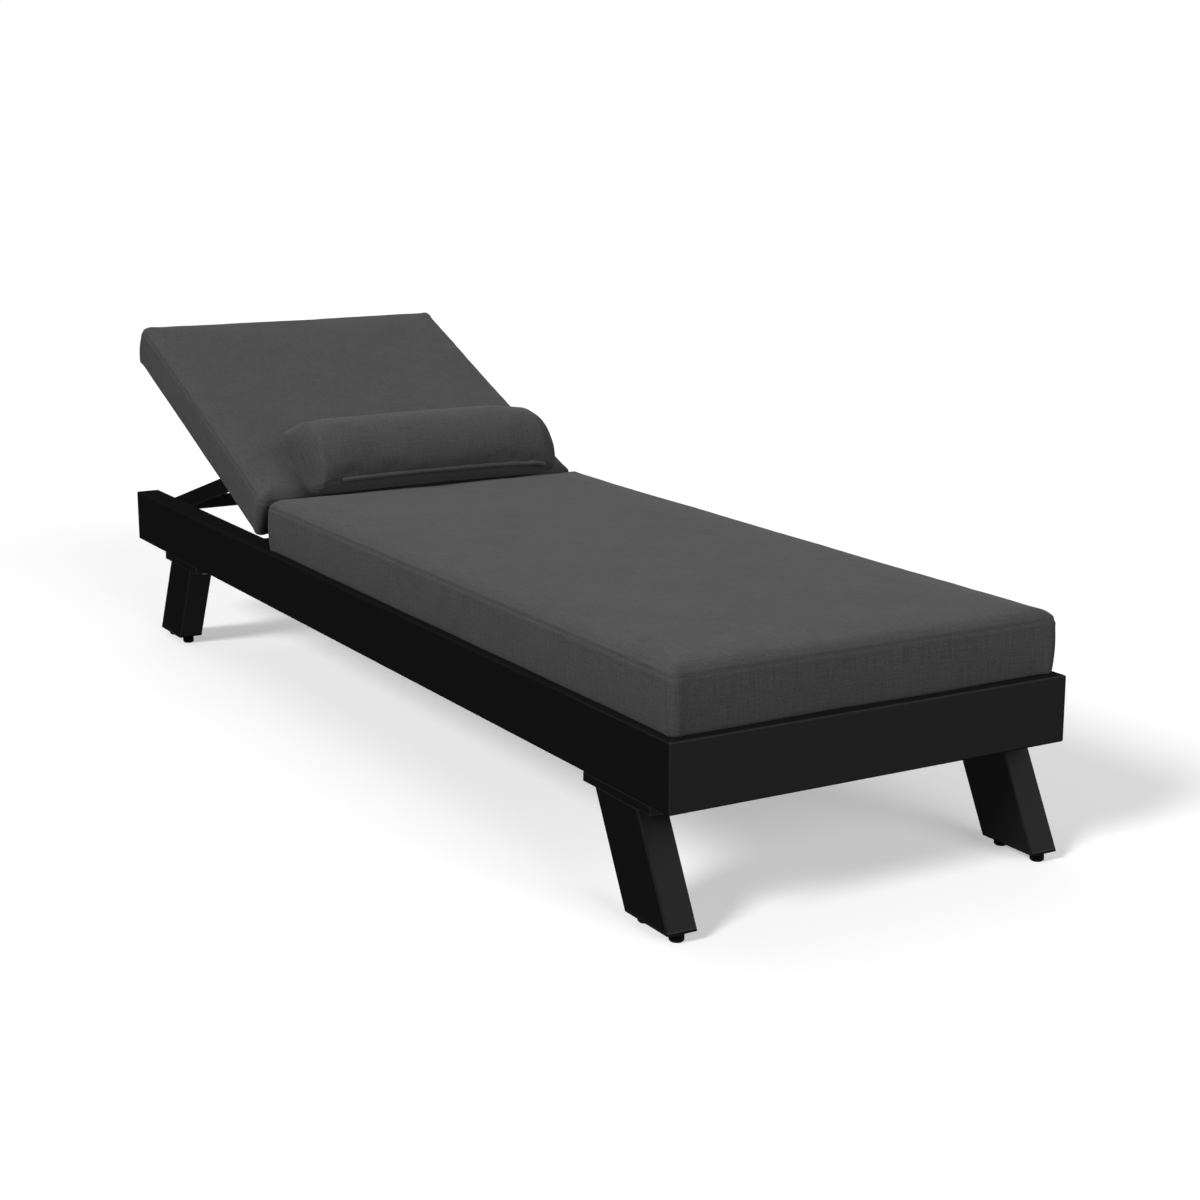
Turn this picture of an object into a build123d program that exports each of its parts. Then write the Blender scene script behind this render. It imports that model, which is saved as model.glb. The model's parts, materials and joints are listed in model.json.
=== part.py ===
from build123d import *
import math
import os

os.makedirs("parts", exist_ok=True)

# Reclining sun lounger in millimetres.
# X runs across the lounger, +Y runs from the foot end to the head end, Z is up from the floor.

# Overall size
overall_length = 2000.0
overall_width = 636.0
rail_top = 267.0

# Frame tube, shared by rails and legs
rail_height = 95.0
rail_thickness = 45.0
rail_wall = 2.5
rail_corner = 3.0
frame_corner = 3.0

# Moulded plugs that close the open tube ends
cap_flange = 3.0
cap_depth = 22.0
cap_edge = 1.0
plug_clearance = 0.2

# Legs
leg_lean = 27.3
front_leg_inset = 129.6
rear_leg_inset = 239.7
plate_margin = 32.0
plate_thickness = 12.0
plate_corner = 3.0
foot_height = 14.0
foot_diameter = 20.0
foot_edge = 2.0
foot_spacing = 76.0
stud_diameter = 8.0
stud_length = 12.0

# Bolts that hold the leg plates, and the small screws in the rails
bolt_diameter = 8.0
bolt_head_diameter = 14.0
bolt_head_height = 4.4
bolt_head_chamfer = 1.6
bolt_grip = 8.0
bolt_edge_distance = 15.0
screw_diameter = 5.0
screw_head_diameter = 9.0
screw_head_height = 2.6
screw_head_chamfer = 1.0
screw_grip = 4.0
hole_clearance = 0.4

# Cross bars between the rails
crossbar_width = 40.0
crossbar_height = 20.0
crossbar_wall = 2.0
mid_crossbar_lead = 70.0
mid_crossbar_rise = 20.0
rear_crossbar_inset = 240.0
rear_crossbar_rise = 1.0

# Seat deck
slat_width = 80.0
slat_height = 15.0
slat_wall = 1.6
slat_corner = 3.0
slat_end_gap = 1.0
seat_slat_count = 11
deck_end_gap = 10.0
deck_to_hinge = 36.0
ledge_leg = 30.0
ledge_thickness = 3.0
ledge_screw_count = 6
ledge_screw_margin = 60.0

# Back rest hinge
hinge_from_head = 654.0
hinge_drop = 13.0
back_tilt = 22.3
hinge_pin_diameter = 12.0
hinge_shoulder_diameter = 20.0
hinge_collar_diameter = 17.0
hinge_collar = 2.5
bush_diameter = 17.0
bush_flange_diameter = 22.0
bush_flange = 1.5
running_clearance = 0.05
side_clearance = 0.5
bracket_length = 60.0
bracket_height = 58.0
bracket_corner = 8.0
bracket_top_gap = 1.5
bracket_screw_spacing = 36.0
bracket_screw_rise = 11.0
fitting_thickness = 5.0

# Back rest frame, measured along the back from the hinge
back_tube_width = 30.0
back_tube_depth = 25.0
back_tube_wall = 2.0
back_tube_corner = 2.5
back_tail = 22.0
back_reach = 596.0
back_foot_tube_start = 23.5
back_slat_count = 5
back_cap_flange = 2.5
back_cap_depth = 12.0

# Folding prop behind the back rest
prop_pivot_gap = 2
prop_pivot_below = 3.0
prop_length = 363.0
prop_arm_depth = 28.0
prop_arm_thickness = 10.0
prop_gap = 2.0
prop_bolt_diameter = 10.0
prop_bolt_head_diameter = 18.0
prop_bolt_head = 2.2
prop_bar_size = 24.0
prop_bar_wall = 2.0
prop_bar_corner = 2.0
prop_pin_diameter = 14.0
prop_pin_spigot = 9.0
prop_pin_reach = 5.5

# Notched racks on the rails, one notch for each back angle
rack_line_drop = 21.0
rack_depth_below_line = 46.0
rack_rise_above_line = 9.0
rack_front_margin = 27.0
rack_rear_margin = 18.0
rack_corner = 6.0
notch_clearance = 0.5
notch_lean = 24.0
notch_angles = [back_tilt, 32.0, 41.5, 51.0, 60.0]
rack_screw_count = 3
rack_screw_rise = 10.0
rack_screw_margin = 30.0

# Cushions
cushion_thickness = 79.0
cushion_crown = 7.0
cushion_side_inset = 8.0
cushion_draw_in = 3.0
cushion_side_bulge = 3.0
cushion_top_round = 15.0
cushion_bottom_round = 7.0
cushion_end_round = 14.0
cushion_taper_run = 190.0
cushion_taper_steps = [0.3, 0.65, 1.0]
cushion_round_steps = 3
cushion_end_crown = 0.3
seat_cushion_foot_inset = 14.0
seat_cushion_to_hinge = 17.0
back_cushion_lift = 0.9
back_cushion_start = 39.5
back_cushion_length = 655.0

# Loose pillow, measured along the back and out from its face
pillow_half_length = 256.0
pillow_below_hinge = 19.0
pillow_above_hinge = 148.0
pillow_seam_offset = 50.0
pillow_crown_offset = 121.6
pillow_shoulder_run = 36.0
pillow_shoulder_height = 0.89
pillow_nape_height = 0.54
pillow_nape_run = 30.0
pillow_crest_share = 0.32
pillow_roundness = 1.1
pillow_gap = 0.6
pillow_seat_gap = 2.5
pillow_rest_span = 80.0
pillow_toe_share = 0.34
pillow_heel_run = 0.74
pillow_heel_drop = 0.66
pillow_end_fullness = 0.12
pillow_end_power = 7
pillow_draw_in = 3.0
pillow_corner_draw = 8.0
pillow_corner_power = 16
pillow_droop = 34.0
pillow_droop_power = 8
pillow_stations = [0.55, 0.8, 0.92, 0.975, 1.0]

# Places worked out from the sizes above
half_length = overall_length / 2
half_width = overall_width / 2
inner_half = half_width - rail_thickness
rail_bottom = rail_top - rail_height
rail_middle = rail_top - rail_height / 2
plate_bottom = rail_bottom - plate_thickness
leg_lean_rad = math.radians(leg_lean)
plate_length = rail_height / math.cos(leg_lean_rad) + 2 * plate_margin
tilt = math.radians(back_tilt)
hinge_y = half_length - hinge_from_head
hinge_z = rail_top - hinge_drop
deck_start = -half_length + rail_thickness + deck_end_gap
deck_end = hinge_y - deck_to_hinge
slat_bottom = rail_top - slat_height
rack_line = rail_top - rack_line_drop
rack_bottom = rack_line - rack_depth_below_line
fitting_face = inner_half - fitting_thickness
arm_outer = fitting_face - side_clearance - prop_pin_reach
arm_inner = arm_outer - prop_arm_thickness
back_outer = arm_inner - prop_gap
back_inner = back_outer - back_tube_width
cushion_half_width = half_width - cushion_side_inset
seat_cushion_top = rail_top + cushion_thickness + cushion_crown
back_top = back_tube_depth / 2
head_tube_start = back_reach - back_tube_depth - back_cap_flange
back_slat_start = back_foot_tube_start + back_tube_depth
back_slat_run = head_tube_start - back_slat_start
back_slat_gap = (back_slat_run - back_slat_count * slat_width) / (back_slat_count + 1)
prop_pivot_along = back_slat_start + prop_pivot_gap * slat_width + (prop_pivot_gap + 0.5) * back_slat_gap
back_cushion_bottom = back_top + back_cushion_lift
back_cushion_face = back_cushion_bottom + cushion_thickness + cushion_crown
back_place = Pos(0, hinge_y, hinge_z) * Rot(back_tilt, 0, 0)

sides = {"left": -1, "right": 1}


# Shared shapes


def hand(shape, side):
    return shape if side > 0 else mirror(shape, Plane.YZ)


def both_hands(shapes):
    return Compound(children=[copy for s in shapes for copy in (s, mirror(s, Plane.YZ))])


def block(x0, x1, y0, y1, z0, z1):
    return Pos((x0 + x1) / 2, (y0 + y1) / 2, (z0 + z1) / 2) * Box(x1 - x0, y1 - y0, z1 - z0)


def ring(width, height, wall, corner):
    inner_corner = max(corner - wall, 0.5)
    return RectangleRounded(width, height, corner) - RectangleRounded(
        width - 2 * wall, height - 2 * wall, inner_corner
    )


def along_y(section, x, y0, y1, z):
    plane = Plane(origin=(x, y0, z), x_dir=(1, 0, 0), z_dir=(0, 1, 0))
    return extrude(plane * section, y1 - y0)


def along_x(section, x0, x1, y, z):
    plane = Plane(origin=(x0, y, z), x_dir=(0, 1, 0), z_dir=(1, 0, 0))
    return extrude(plane * section, x1 - x0)


def rod_x(diameter, x0, x1, y, z):
    return along_x(Circle(diameter / 2), x0, x1, y, z)


def prism_z(points, z0, z1):
    return Pos(0, 0, z0) * extrude(make_face(Polyline(*points, close=True)), z1 - z0)


def spread(first, last, count):
    return [first + (last - first) * i / (count - 1) for i in range(count)]


def save(name, shape):
    export_step(shape, f"parts/{name}.step")


# Leg places: name, middle of the plate along Y, and the way the leg leans

leg_ends = {
    "front": (-half_length + front_leg_inset, -1),
    "rear": (half_length - rear_leg_inset, 1),
}


def bolt_places(plate_y):
    reach = plate_length / 2 - bolt_edge_distance
    return [plate_y - reach, plate_y + reach]


def leg_bottom_y(plate_y, lean_way):
    return plate_y + lean_way * math.tan(leg_lean_rad) * (plate_bottom - foot_height)


# Where the prop's pins come to rest for each angle of the back


def prop_pivot_at(angle):
    a = math.radians(angle)
    y = hinge_y + prop_pivot_along * math.cos(a) + prop_pivot_below * math.sin(a)
    z = hinge_z + prop_pivot_along * math.sin(a) - prop_pivot_below * math.cos(a)
    return y, z


def prop_fall_at(angle):
    return math.asin((prop_pivot_at(angle)[1] - rack_line) / prop_length)


def notch_y(angle):
    return prop_pivot_at(angle)[0] + prop_length * math.cos(prop_fall_at(angle))


notch_places = [notch_y(a) for a in notch_angles]
rack_front = min(notch_places) - rack_front_margin
rack_rear = max(notch_places) + rack_rear_margin
prop_turn = back_tilt + math.degrees(prop_fall_at(back_tilt))

# Screw places on the inner face of a rail, as (y, z) pairs

ledge_screw_z = slat_bottom - ledge_leg / 2
ledge_screws = [
    (y, ledge_screw_z)
    for y in spread(deck_start + ledge_screw_margin, deck_end - ledge_screw_margin, ledge_screw_count)
]
bracket_bottom = rail_top - bracket_top_gap - bracket_height
bracket_screws = [
    (hinge_y + way * bracket_screw_spacing / 2, bracket_bottom + bracket_screw_rise)
    for way in (-1, 1)
]
rack_screws = [
    (y, rack_bottom + rack_screw_rise)
    for y in spread(rack_front + rack_screw_margin, rack_rear - rack_screw_margin, rack_screw_count)
]


def screw_holes(places):
    reach = fitting_thickness + rail_wall + screw_grip
    x0 = inner_half - reach
    x1 = inner_half + reach
    return [rod_x(screw_diameter + hole_clearance, x0, x1, y, z) for y, z in places]


# Rails: mitred at the foot, free at the head


def corner_round():
    x = half_width - frame_corner
    y = -half_length + frame_corner
    sharp = block(x, half_width, -half_length, y, rail_bottom, rail_top)
    return sharp - Pos(x, y, rail_middle) * Cylinder(frame_corner, rail_height)


def side_rail():
    x = half_width - rail_thickness / 2
    section = ring(rail_thickness, rail_height, rail_wall, rail_corner)
    rail = along_y(section, x, -half_length, half_length - cap_flange, rail_middle)
    mitre = [
        (half_width, -half_length),
        (inner_half, -half_length),
        (inner_half, -half_length + rail_thickness),
    ]
    rail -= prism_z(mitre, rail_bottom, rail_top)
    rail -= corner_round()
    holes = screw_holes(ledge_screws + bracket_screws + rack_screws)
    for plate_y, _ in leg_ends.values():
        for y in bolt_places(plate_y):
            radius = (bolt_diameter + hole_clearance) / 2
            holes.append(Pos(x, y, rail_bottom) * Cylinder(radius, 2 * bolt_grip))
    return rail - holes


def foot_rail():
    section = ring(rail_thickness, rail_height, rail_wall, rail_corner)
    y = -half_length + rail_thickness / 2
    rail = along_x(section, -half_width, half_width, y, rail_middle)
    mitre = [
        (half_width, -half_length),
        (half_width, -half_length + rail_thickness),
        (inner_half, -half_length + rail_thickness),
    ]
    for side in sides.values():
        rail -= hand(prism_z(mitre, rail_bottom, rail_top), side)
        rail -= hand(corner_round(), side)
    return rail


def rail_cap():
    x = half_width - rail_thickness / 2
    seat = half_length - cap_flange
    flange = along_y(RectangleRounded(rail_thickness, rail_height, rail_corner), x, seat, half_length, rail_middle)
    flange = chamfer(flange.edges().group_by(Axis.Y)[-1], cap_edge)
    slack = 2 * (rail_wall + plug_clearance)
    plug = ring(rail_thickness - slack, rail_height - slack, rail_wall, rail_corner)
    return flange + along_y(plug, x, seat - cap_depth, seat, rail_middle)


def crossbar(y, bottom):
    section = ring(crossbar_width, crossbar_height, crossbar_wall, slat_corner)
    return along_x(section, -inner_half, inner_half, y, bottom + crossbar_height / 2)


# Legs: the frame tube cut level at both ends, on a flat plate


def leaning_prism(section, plate_y, lean_way, z0, z1):
    axis = (0, lean_way * math.sin(leg_lean_rad), -math.cos(leg_lean_rad))
    x = half_width - rail_thickness / 2
    plane = Plane(origin=(x, plate_y, plate_bottom), x_dir=(1, 0, 0), z_dir=axis)
    bar = extrude(plane * section, overall_width, both=True)
    reach = overall_width
    return bar & block(x - reach, x + reach, plate_y - reach, plate_y + reach, z0, z1)


def leg(plate_y, lean_way):
    outer = RectangleRounded(rail_thickness, rail_height, rail_corner)
    inner = RectangleRounded(rail_thickness - 2 * rail_wall, rail_height - 2 * rail_wall, rail_corner)
    foot = foot_height + cap_flange
    solid = leaning_prism(outer, plate_y, lean_way, foot, plate_bottom)
    return solid - leaning_prism(inner, plate_y, lean_way, foot, plate_bottom)


def foot_places(plate_y, lean_way):
    middle = leg_bottom_y(plate_y, lean_way)
    return [middle - foot_spacing / 2, middle + foot_spacing / 2]


def leg_cap(plate_y, lean_way):
    slack = 2 * (rail_wall + plug_clearance)
    outer = RectangleRounded(rail_thickness, rail_height, rail_corner)
    plug = RectangleRounded(rail_thickness - slack, rail_height - slack, rail_corner)
    seat = foot_height + cap_flange
    cap = leaning_prism(outer, plate_y, lean_way, foot_height, seat)
    cap += leaning_prism(plug, plate_y, lean_way, seat, foot_height + cap_depth)
    for y in foot_places(plate_y, lean_way):
        hole = Cylinder(stud_diameter / 2, stud_length, align=(Align.CENTER, Align.CENTER, Align.MIN))
        cap -= Pos(half_width - rail_thickness / 2, y, foot_height) * hole
    return cap


def glide(y):
    outline = Polyline(
        (0, 0),
        (foot_diameter / 2 - foot_edge, 0),
        (foot_diameter / 2, foot_edge),
        (foot_diameter / 2, foot_height),
        (stud_diameter / 2, foot_height),
        (stud_diameter / 2, foot_height + stud_length),
        (0, foot_height + stud_length),
        close=True,
    )
    turned = revolve(Plane.XZ * make_face(outline), Axis.Z)
    return Pos(half_width - rail_thickness / 2, y, 0) * turned


def leg_plate(plate_y):
    x = half_width - rail_thickness / 2
    blank = extrude(RectangleRounded(rail_thickness, plate_length, plate_corner), plate_thickness)
    plate = Pos(x, plate_y, plate_bottom) * blank
    for y in bolt_places(plate_y):
        radius = (bolt_diameter + hole_clearance) / 2
        plate -= Pos(x, y, plate_bottom) * Cylinder(radius, 2 * (plate_thickness + bolt_grip))
    return plate


def leg_bolt(y):
    x = half_width - rail_thickness / 2
    shank_length = plate_thickness + rail_wall + bolt_grip
    low = (Align.CENTER, Align.CENTER, Align.MIN)
    high = (Align.CENTER, Align.CENTER, Align.MAX)
    shank = Cylinder(bolt_diameter / 2, shank_length, align=low)
    head = Cylinder(bolt_head_diameter / 2, bolt_head_height, align=high)
    head = chamfer(head.edges().group_by(Axis.Z)[0], bolt_head_chamfer)
    return Pos(x, y, plate_bottom) * (head + shank)


def rail_screw(y, z, thickness):
    face = inner_half - thickness
    head = rod_x(screw_head_diameter, face - screw_head_height, face, y, z)
    head = chamfer(head.edges().group_by(Axis.X)[0], screw_head_chamfer)
    return head + rod_x(screw_diameter, face, inner_half + rail_wall + screw_grip, y, z)


# Seat deck: angle ledges on the rails carry cross slats


def seat_ledge():
    corner = inner_half - ledge_leg
    shelf = block(corner, inner_half, deck_start, deck_end, slat_bottom - ledge_thickness, slat_bottom)
    web_bottom = slat_bottom - ledge_leg
    web = block(inner_half - ledge_thickness, inner_half, deck_start, deck_end, web_bottom, slat_bottom)
    return shelf + web - screw_holes(ledge_screws)


def seat_slat(y):
    reach = inner_half - slat_end_gap
    section = ring(slat_width, slat_height, slat_wall, slat_corner)
    return along_x(section, -reach, reach, y, rail_top - slat_height / 2)


# Hinge: a bracket and a shouldered pin on each rail, a bush in each back tube


def hinge_bracket():
    z = bracket_bottom + bracket_height / 2
    section = RectangleRounded(bracket_length, bracket_height, bracket_corner)
    plate = along_x(section, fitting_face, inner_half, hinge_y, z)
    pin_hole = rod_x(hinge_pin_diameter, fitting_face, inner_half, hinge_y, hinge_z)
    return plate - pin_hole - screw_holes(bracket_screws)


def hinge_pin():
    shoulder_end = back_outer + bush_flange + side_clearance
    tip = back_inner - side_clearance - hinge_collar
    pin = rod_x(hinge_pin_diameter, tip, inner_half, hinge_y, hinge_z)
    pin += rod_x(hinge_shoulder_diameter, shoulder_end, fitting_face, hinge_y, hinge_z)
    return pin + rod_x(hinge_collar_diameter, tip, tip + hinge_collar, hinge_y, hinge_z)


def hinge_bush():
    bush = rod_x(bush_diameter, back_inner, back_outer, 0, 0)
    bush += rod_x(bush_flange_diameter, back_outer, back_outer + bush_flange, 0, 0)
    bore = hinge_pin_diameter + 2 * running_clearance
    return bush - rod_x(bore, back_inner, back_outer + bush_flange, 0, 0)


# Back rest frame, drawn flat with the hinge on the X axis


def back_side_tube():
    x = back_outer - back_tube_width / 2
    section = ring(back_tube_width, back_tube_depth, back_tube_wall, back_tube_corner)
    tube = along_y(section, x, -back_tail, back_reach - back_cap_flange, 0)
    tube -= rod_x(bush_diameter, back_inner, back_outer, 0, 0)
    return tube - rod_x(prop_bolt_diameter, back_inner, back_outer, prop_pivot_along, -prop_pivot_below)


def back_cross_tube(start):
    section = ring(back_tube_depth, back_tube_depth, back_tube_wall, back_tube_corner)
    return along_x(section, -back_inner, back_inner, start + back_tube_depth / 2, 0)


def back_slat(along):
    section = ring(slat_width, slat_height, slat_wall, slat_corner)
    return along_x(section, -back_inner, back_inner, along, back_top - slat_height / 2)


def back_tube_cap(seat, way):
    x = back_outer - back_tube_width / 2
    slack = 2 * (back_tube_wall + plug_clearance)
    cover = RectangleRounded(back_tube_width, back_tube_depth, back_tube_corner)
    plug = RectangleRounded(back_tube_width - slack, back_tube_depth - slack, back_tube_corner)
    flange = sorted([seat, seat + way * back_cap_flange])
    inside = sorted([seat, seat - way * back_cap_depth])
    return along_y(cover, x, *flange, 0) + along_y(plug, x, *inside, 0)


# Prop: two arms, a cross bar and the pins that drop into the racks,
# drawn with the pivot on the X axis and the arm along +Y


def prop_arm():
    middle = prop_length / 2
    section = SlotCenterToCenter(prop_length, prop_arm_depth)
    arm = along_x(section, arm_inner, arm_outer, middle, 0)
    bore = prop_bolt_diameter + 2 * running_clearance
    arm -= rod_x(bore, arm_inner, arm_outer, 0, 0)
    return arm - rod_x(prop_pin_spigot, arm_inner, arm_outer, prop_length, 0)


def prop_bar():
    section = ring(prop_bar_size, prop_bar_size, prop_bar_wall, prop_bar_corner)
    return along_x(section, -arm_inner, arm_inner, prop_length, 0)


def prop_pin():
    pin = rod_x(prop_pin_diameter, arm_outer, arm_outer + prop_pin_reach, prop_length, 0)
    return pin + rod_x(prop_pin_spigot, arm_inner, arm_outer, prop_length, 0)


def prop_bolt():
    y = prop_pivot_along
    z = -prop_pivot_below
    head_start = arm_outer + side_clearance
    bolt = rod_x(prop_bolt_diameter, back_inner - hinge_collar, head_start, y, z)
    bolt += rod_x(prop_bolt_head_diameter, head_start, head_start + prop_bolt_head, y, z)
    collar = rod_x(hinge_collar_diameter, back_inner - hinge_collar, back_inner, y, z)
    washer_end = arm_inner - side_clearance
    washer = rod_x(prop_bolt_head_diameter, back_outer, washer_end, y, z)
    return bolt + collar + washer


# Rack: notches that lean towards the foot, so that the load on the prop pulls the pins in


def notch(y):
    width = prop_pin_diameter + 2 * notch_clearance
    mouth = 2 * (rack_rise_above_line + width)
    seat = Circle(width / 2) + Rot(0, 0, notch_lean) * Pos(0, mouth / 2) * Rectangle(width, mouth)
    return along_x(seat, fitting_face, inner_half, y, rack_line)


def rack():
    length = rack_rear - rack_front
    height = rack_depth_below_line + rack_rise_above_line
    section = RectangleRounded(length, height, rack_corner)
    middle_z = rack_bottom + height / 2
    plate = along_x(section, fitting_face, inner_half, (rack_front + rack_rear) / 2, middle_z)
    plate -= [notch(y) for y in notch_places]
    return plate - screw_holes(rack_screws)


# Cushions: lofted through sections whose sides bulge and whose tops are crowned


def cushion_section(half, height, crown, bottom_round, top_round):
    diagonal = math.sqrt(0.5)
    low = bottom_round * (1 - diagonal)
    high = top_round * (1 - diagonal)
    lower = half - bottom_round
    upper = half - top_round
    belly = (bottom_round + height - top_round) / 2
    edges = [
        Line((-lower, 0), (lower, 0)),
        ThreePointArc((lower, 0), (half - low, low), (half, bottom_round)),
        ThreePointArc((half, bottom_round), (half + cushion_side_bulge, belly), (half, height - top_round)),
        ThreePointArc((half, height - top_round), (half - high, height - high), (upper, height)),
        ThreePointArc((upper, height), (0, height + crown), (-upper, height)),
        ThreePointArc((-upper, height), (-half + high, height - high), (-half, height - top_round)),
        ThreePointArc((-half, height - top_round), (-half - cushion_side_bulge, belly), (-half, bottom_round)),
        ThreePointArc((-half, bottom_round), (-half + low, low), (-lower, 0)),
    ]
    return make_face(edges)


def cushion(start, end, bottom):
    length = end - start
    stations = []
    for step in range(cushion_round_steps + 1):
        a = math.radians(90 * step / cushion_round_steps)
        stations.append((cushion_end_round * (1 - math.cos(a)), cushion_end_round * (1 - math.sin(a)), 0))
    for share in cushion_taper_steps:
        stations.append((cushion_taper_run * share, 0, math.sin(math.radians(90 * share))))
    stations.append((length / 2, 0, 1))
    mirrored = [(length - along, inset, rise) for along, inset, rise in reversed(stations[:-1])]
    faces = []
    for along, inset, rise in stations + mirrored:
        half = cushion_half_width - inset - cushion_draw_in * rise
        crown = cushion_crown * (cushion_end_crown + (1 - cushion_end_crown) * rise)
        face = cushion_section(
            half, cushion_thickness - inset, crown, cushion_bottom_round, cushion_top_round
        )
        plane = Plane(origin=(0, start + along, bottom), x_dir=(-1, 0, 0), z_dir=(0, 1, 0))
        faces.append(plane * face)
    return loft(faces, ruled=True)


# Pillow: a full cover sewn along its lower edge and its ends,
# resting on the seat and leaning on the back


def pillow_section(x, fullness, draw, droop):
    seam = back_cushion_face + pillow_seam_offset
    low = -pillow_below_hinge + draw
    high = pillow_above_hinge - draw

    def seam_at(u):
        return seam - droop * (high - u) / (high - low)

    rise = (pillow_crown_offset - pillow_seam_offset) * fullness
    front = low + pillow_shoulder_run
    top = high - pillow_nape_run
    crest = front + (top - front) * pillow_crest_share
    shoulder = seam_at(front) + rise * pillow_shoulder_height
    nape = seam_at(top) + rise * pillow_nape_height
    over = seam_at(crest) + rise

    rest = back_cushion_face + pillow_gap
    drop = (pillow_seam_offset - pillow_gap) * fullness
    seat_line = seat_cushion_top + pillow_seat_gap - hinge_z
    rest_start = (seat_line - rest * math.cos(tilt)) / math.sin(tilt)
    rest_end = rest_start + pillow_rest_span
    under_start = max(rest, seam_at(rest_start) - drop)
    under_end = max(rest, seam_at(rest_end) - drop)
    toe = low + (rest_start - low) * pillow_toe_share
    toe_floor = (seat_line - toe * math.sin(tilt)) / math.cos(tilt)
    toe_height = seam_at(toe) - (seam_at(toe) - toe_floor) * fullness
    heel = rest_end + (high - rest_end) * pillow_heel_run
    heel_height = seam_at(heel) - (seam_at(heel) - under_end) * pillow_heel_drop
    edges = [
        ThreePointArc((low, seam_at(low)), (toe, toe_height), (rest_start, under_start)),
        Line((rest_start, under_start), (rest_end, under_end)),
        ThreePointArc((rest_end, under_end), (heel, heel_height), (high, seam)),
        Line((high, seam), (top, nape)),
        ThreePointArc((top, nape), (crest, over), (front, shoulder)),
        ThreePointArc((front, shoulder), rounded(low, seam_at(low), front, shoulder), (low, seam_at(low))),
    ]
    plane = Plane(origin=(x, 0, 0), x_dir=(0, 1, 0), z_dir=(1, 0, 0))
    return plane * make_face(edges)


def rounded(edge_u, edge_v, inner_u, inner_v):
    u = edge_u + (inner_u - edge_u) * (1 - math.sqrt(0.5)) * pillow_roundness
    v = edge_v + (inner_v - edge_v) * math.sqrt(0.5) * (2 - pillow_roundness)
    return u, v


def pillow():
    shares = [-share for share in reversed(pillow_stations)] + [0.0] + pillow_stations
    faces = []
    for share in shares:
        swell = (1 - abs(share) ** pillow_end_power) ** 0.5
        fullness = pillow_end_fullness + (1 - pillow_end_fullness) * swell
        draw = pillow_draw_in * (1 - share * share) + pillow_corner_draw * abs(share) ** pillow_corner_power
        droop = pillow_droop * abs(share) ** pillow_droop_power
        faces.append(pillow_section(share * pillow_half_length, fullness, draw, droop))
    return loft(faces, ruled=True)


# Frame pieces
for name, side in sides.items():
    save(f"side_rail_{name}", hand(side_rail(), side))
    save(f"seat_ledge_{name}", hand(seat_ledge(), side))
    save(f"hinge_bracket_{name}", hand(hinge_bracket(), side))
    save(f"hinge_pin_{name}", hand(hinge_pin(), side))
    save(f"rack_{name}", hand(rack(), side))
    for end, (plate_y, lean_way) in leg_ends.items():
        save(f"leg_{end}_{name}", hand(leg(plate_y, lean_way), side))
        save(f"leg_plate_{end}_{name}", hand(leg_plate(plate_y), side))
        feet = [hand(glide(y), side) for y in foot_places(plate_y, lean_way)]
        save(f"glides_{end}_{name}", Compound(children=feet))

save("foot_rail", foot_rail())
save("rail_caps", both_hands([rail_cap()]))
save("leg_caps", both_hands([leg_cap(*place) for place in leg_ends.values()]))
save("leg_bolts", both_hands([leg_bolt(y) for plate_y, _ in leg_ends.values() for y in bolt_places(plate_y)]))
save("mid_crossbar", crossbar(hinge_y - mid_crossbar_lead, rail_bottom + mid_crossbar_rise))
save("rear_crossbar", crossbar(half_length - rear_crossbar_inset, rail_bottom + rear_crossbar_rise))

screws = [rail_screw(y, z, ledge_thickness) for y, z in ledge_screws]
screws += [rail_screw(y, z, fitting_thickness) for y, z in bracket_screws + rack_screws]
save("rail_screws", both_hands(screws))

slat_places = spread(deck_start + slat_width / 2, deck_end - slat_width / 2, seat_slat_count)
for i, y in enumerate(slat_places):
    save(f"seat_slat_{i + 1:02d}", seat_slat(y))

seat_start = -half_length + seat_cushion_foot_inset
seat_end = hinge_y - seat_cushion_to_hinge
save("seat_cushion", cushion(seat_start, seat_end, rail_top))

# Back rest pieces
for name, side in sides.items():
    save(f"back_side_tube_{name}", back_place * hand(back_side_tube(), side))
save("back_foot_tube", back_place * back_cross_tube(back_foot_tube_start))
save("back_head_tube", back_place * back_cross_tube(head_tube_start))
save("hinge_bushes", back_place * both_hands([hinge_bush()]))
save("prop_bolts", back_place * both_hands([prop_bolt()]))
tube_caps = [back_tube_cap(-back_tail, -1), back_tube_cap(back_reach - back_cap_flange, 1)]
save("back_tube_caps", back_place * both_hands(tube_caps))
for i in range(back_slat_count):
    along = back_slat_start + back_slat_gap * (i + 1) + slat_width * (i + 0.5)
    save(f"back_slat_{i + 1}", back_place * back_slat(along))

# Prop pieces
prop_place = back_place * Pos(0, prop_pivot_along, -prop_pivot_below) * Rot(-prop_turn, 0, 0)
for name, side in sides.items():
    save(f"prop_arm_{name}", prop_place * hand(prop_arm(), side))
save("prop_bar", prop_place * prop_bar())
save("prop_pins", prop_place * both_hands([prop_pin()]))

# Loose cushions on the back rest
back_cushion_end = back_cushion_start + back_cushion_length
save("back_cushion", back_place * cushion(back_cushion_start, back_cushion_end, back_cushion_bottom))
save("pillow", back_place * pillow())
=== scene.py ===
import json
import math

import bmesh
import bpy
import numpy as np
from mathutils import Matrix, Vector, noise


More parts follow.
